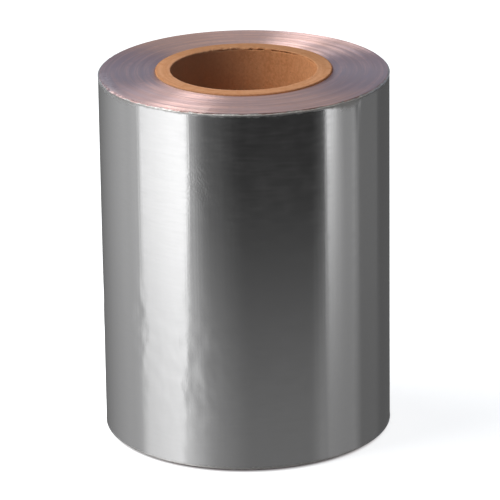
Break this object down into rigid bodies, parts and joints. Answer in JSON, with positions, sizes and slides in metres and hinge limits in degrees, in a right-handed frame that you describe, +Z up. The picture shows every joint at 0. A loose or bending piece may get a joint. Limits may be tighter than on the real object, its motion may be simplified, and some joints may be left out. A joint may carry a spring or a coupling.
{
  "type": "aluminium sealing film roll",
  "caption": "Roll of aluminium laminate film for heat-sealing cups and trays, wound tight on a paperboard core whose bore takes the sealing machine's mandrel.",
  "frame": {"origin": "middle of the core's end that the roll stands on", "axes": "+Z up along the winding axis; -Y faces the picture's camera"},
  "size_m": [0.1519, 0.1519, 0.1958],
  "materials": {
    "foil_laminate": "bright rolled foil on the outside, cut laminate edges on the ends",
    "kraft_board": "bare kraft paperboard"
  },
  "bodies": {
    "root": {"film_winding": "foil_laminate", "paper_core": "kraft_board"}
  },
  "joints": []
}
